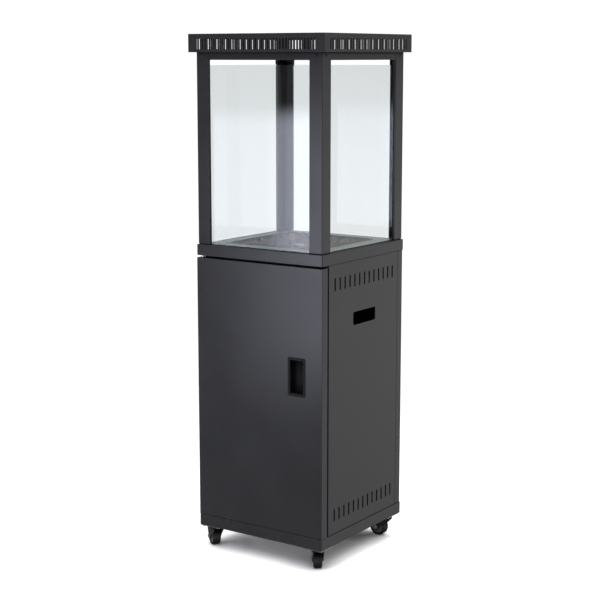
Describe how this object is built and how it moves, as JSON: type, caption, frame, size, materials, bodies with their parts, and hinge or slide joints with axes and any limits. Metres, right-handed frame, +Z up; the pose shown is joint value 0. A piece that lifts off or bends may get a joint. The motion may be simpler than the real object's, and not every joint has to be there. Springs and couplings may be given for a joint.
{
  "type": "outdoor gas heater",
  "caption": "Wheeled gas patio heater: square bottle cabinet with a door, burner deck and four-sided glass flame chamber under a slotted cap.",
  "frame": {"origin": "on the floor, under the middle of the heater", "axes": "+Z up; -Y is the side with the door; +X is to the right when one faces the door, on the pull's side"},
  "size_m": [0.4246, 0.4246, 1.3891],
  "materials": {
    "base_tray": "satin powder coat",
    "left_side_panel": "satin powder coat",
    "right_side_panel": "satin powder coat",
    "back_panel": "satin powder coat",
    "deck": "satin powder coat",
    "door_shell": "satin powder coat",
    "door_liner": "satin powder coat",
    "door_pull_cup": "matt",
    "door_hinges": "bright",
    "door_magnet": "matt",
    "post_front_left": "satin powder coat",
    "post_front_right": "satin powder coat",
    "post_rear_left": "satin powder coat",
    "post_rear_right": "satin powder coat",
    "glass_front": "clear",
    "glass_back": "clear",
    "glass_left": "clear",
    "glass_right": "clear",
    "top_rails": "satin powder coat",
    "cap": "satin powder coat",
    "cap_brackets": "bright",
    "frame_screws": "bright",
    "burner_cover": "bright",
    "burner_pan": "satin powder coat",
    "burner_ring": "bright",
    "gas_injector": "dull",
    "rock_grate": "bright",
    "lava_rocks": "rough porous stone",
    "pilot_hood": "bright",
    "spark_electrode": "glazed",
    "thermocouple": "dull",
    "control_plate": "satin powder coat",
    "gas_valve": "as cast",
    "valve_spindle": "dull",
    "control_knob": "matt",
    "igniter_body": "matt",
    "igniter_button": "matt",
    "gas_pipe": "dull",
    "hose_tail": "dull",
    "tilt_switch": "matt",
    "caster_plates": "bright",
    "caster_screws": "bright",
    "caster_fork_front_left": "satin powder coat",
    "caster_axle_front_left": "bright",
    "caster_tyre_front_left": "matt",
    "caster_hub_front_left": "matt",
    "caster_fork_front_right": "satin powder coat",
    "caster_axle_front_right": "bright",
    "caster_tyre_front_right": "matt",
    "caster_hub_front_right": "matt",
    "caster_fork_rear_left": "satin powder coat",
    "caster_axle_rear_left": "bright",
    "caster_tyre_rear_left": "matt",
    "caster_hub_rear_left": "matt",
    "caster_fork_rear_right": "satin powder coat",
    "caster_axle_rear_right": "bright",
    "caster_tyre_rear_right": "matt",
    "caster_hub_rear_right": "matt",
    "brake_pedal_rear_left": "satin powder coat",
    "brake_pedal_rear_right": "satin powder coat"
  },
  "bodies": {
    "cabinet": {"base_tray": "base_tray", "left_side_panel": "left_side_panel", "right_side_panel": "right_side_panel", "back_panel": "back_panel", "deck": "deck", "door_hinges": "door_hinges", "door_magnet": "door_magnet", "post_front_left": "post_front_left", "post_front_right": "post_front_right", "post_rear_left": "post_rear_left", "post_rear_right": "post_rear_right", "glass_front": "glass_front", "glass_back": "glass_back", "glass_left": "glass_left", "glass_right": "glass_right", "top_rails": "top_rails", "cap": "cap", "cap_brackets": "cap_brackets", "frame_screws": "frame_screws", "burner_cover": "burner_cover", "burner_pan": "burner_pan", "burner_ring": "burner_ring", "gas_injector": "gas_injector", "rock_grate": "rock_grate", "lava_rocks": "lava_rocks", "pilot_hood": "pilot_hood", "spark_electrode": "spark_electrode", "thermocouple": "thermocouple", "control_plate": "control_plate", "gas_valve": "gas_valve", "igniter_body": "igniter_body", "gas_pipe": "gas_pipe", "hose_tail": "hose_tail", "tilt_switch": "tilt_switch", "caster_plates": "caster_plates", "caster_screws": "caster_screws"},
    "door": {"door_shell": "door_shell", "door_liner": "door_liner", "door_pull_cup": "door_pull_cup"},
    "fork_front_left": {"caster_fork_front_left": "caster_fork_front_left", "caster_axle_front_left": "caster_axle_front_left"},
    "wheel_front_left": {"caster_tyre_front_left": "caster_tyre_front_left", "caster_hub_front_left": "caster_hub_front_left"},
    "fork_front_right": {"caster_fork_front_right": "caster_fork_front_right", "caster_axle_front_right": "caster_axle_front_right"},
    "wheel_front_right": {"caster_tyre_front_right": "caster_tyre_front_right", "caster_hub_front_right": "caster_hub_front_right"},
    "fork_rear_left": {"caster_fork_rear_left": "caster_fork_rear_left", "caster_axle_rear_left": "caster_axle_rear_left"},
    "wheel_rear_left": {"caster_tyre_rear_left": "caster_tyre_rear_left", "caster_hub_rear_left": "caster_hub_rear_left"},
    "fork_rear_right": {"caster_fork_rear_right": "caster_fork_rear_right", "caster_axle_rear_right": "caster_axle_rear_right"},
    "wheel_rear_right": {"caster_tyre_rear_right": "caster_tyre_rear_right", "caster_hub_rear_right": "caster_hub_rear_right"},
    "pedal_rear_left": {"brake_pedal_rear_left": "brake_pedal_rear_left"},
    "pedal_rear_right": {"brake_pedal_rear_right": "brake_pedal_rear_right"},
    "spindle": {"valve_spindle": "valve_spindle"},
    "knob": {"control_knob": "control_knob"},
    "button": {"igniter_button": "igniter_button"}
  },
  "joints": [
    {"name": "door_swing", "type": "hinge", "parent": "cabinet", "child": "door", "pos_m": [-0.188, -0.1875, 0.4505], "axis": [0, 0, -1], "range_deg": [0, 110]},
    {"name": "swivel_front_left", "type": "hinge", "parent": "cabinet", "child": "fork_front_left", "pos_m": [-0.168, -0.168, 0.058], "axis": [0, 0, 1], "continuous": true},
    {"name": "wheel_front_left", "type": "hinge", "parent": "fork_front_left", "child": "wheel_front_left", "pos_m": [-0.18292, -0.15793, 0.025], "axis": [-0.5592, -0.829, 0], "continuous": true},
    {"name": "swivel_front_right", "type": "hinge", "parent": "cabinet", "child": "fork_front_right", "pos_m": [0.168, -0.168, 0.058], "axis": [0, 0, 1], "continuous": true},
    {"name": "wheel_front_right", "type": "hinge", "parent": "fork_front_right", "child": "wheel_front_right", "pos_m": [0.15692, -0.15382, 0.025], "axis": [-0.788, -0.6157, 0], "continuous": true},
    {"name": "swivel_rear_left", "type": "hinge", "parent": "cabinet", "child": "fork_rear_left", "pos_m": [-0.168, 0.168, 0.058], "axis": [0, 0, 1], "continuous": true},
    {"name": "wheel_rear_left", "type": "hinge", "parent": "fork_rear_left", "child": "wheel_rear_left", "pos_m": [-0.15326, 0.17832, 0.025], "axis": [-0.5736, 0.8192, 0], "continuous": true},
    {"name": "swivel_rear_right", "type": "hinge", "parent": "cabinet", "child": "fork_rear_right", "pos_m": [0.168, 0.168, 0.058], "axis": [0, 0, 1], "continuous": true},
    {"name": "wheel_rear_right", "type": "hinge", "parent": "fork_rear_right", "child": "wheel_rear_right", "pos_m": [0.15004, 0.16926, 0.025], "axis": [-0.0698, -0.9976, 0], "continuous": true},
    {"name": "brake_rear_left", "type": "hinge", "parent": "fork_rear_left", "child": "pedal_rear_left", "pos_m": [-0.14261, 0.18578, 0.0505], "axis": [-0.5736, 0.8192, 0], "range_deg": [0, 18]},
    {"name": "brake_rear_right", "type": "hinge", "parent": "fork_rear_right", "child": "pedal_rear_right", "pos_m": [0.13708, 0.17016, 0.0505], "axis": [-0.0698, -0.9976, 0], "range_deg": [0, 18]},
    {"name": "knob_press", "type": "slide", "parent": "cabinet", "child": "spindle", "axis": [0, 1, 0], "range_m": [0, 0.004], "stiffness_N_per_m": 400, "springref_m": -0.003},
    {"name": "knob_turn", "type": "hinge", "parent": "spindle", "child": "knob", "pos_m": [-0.062, -0.16, 0.763], "axis": [0, -1, 0], "range_deg": [0, 180]},
    {"name": "button_press", "type": "slide", "parent": "cabinet", "child": "button", "axis": [0, 1, 0], "range_m": [0, 0.005], "stiffness_N_per_m": 600, "springref_m": -0.002}
  ]
}
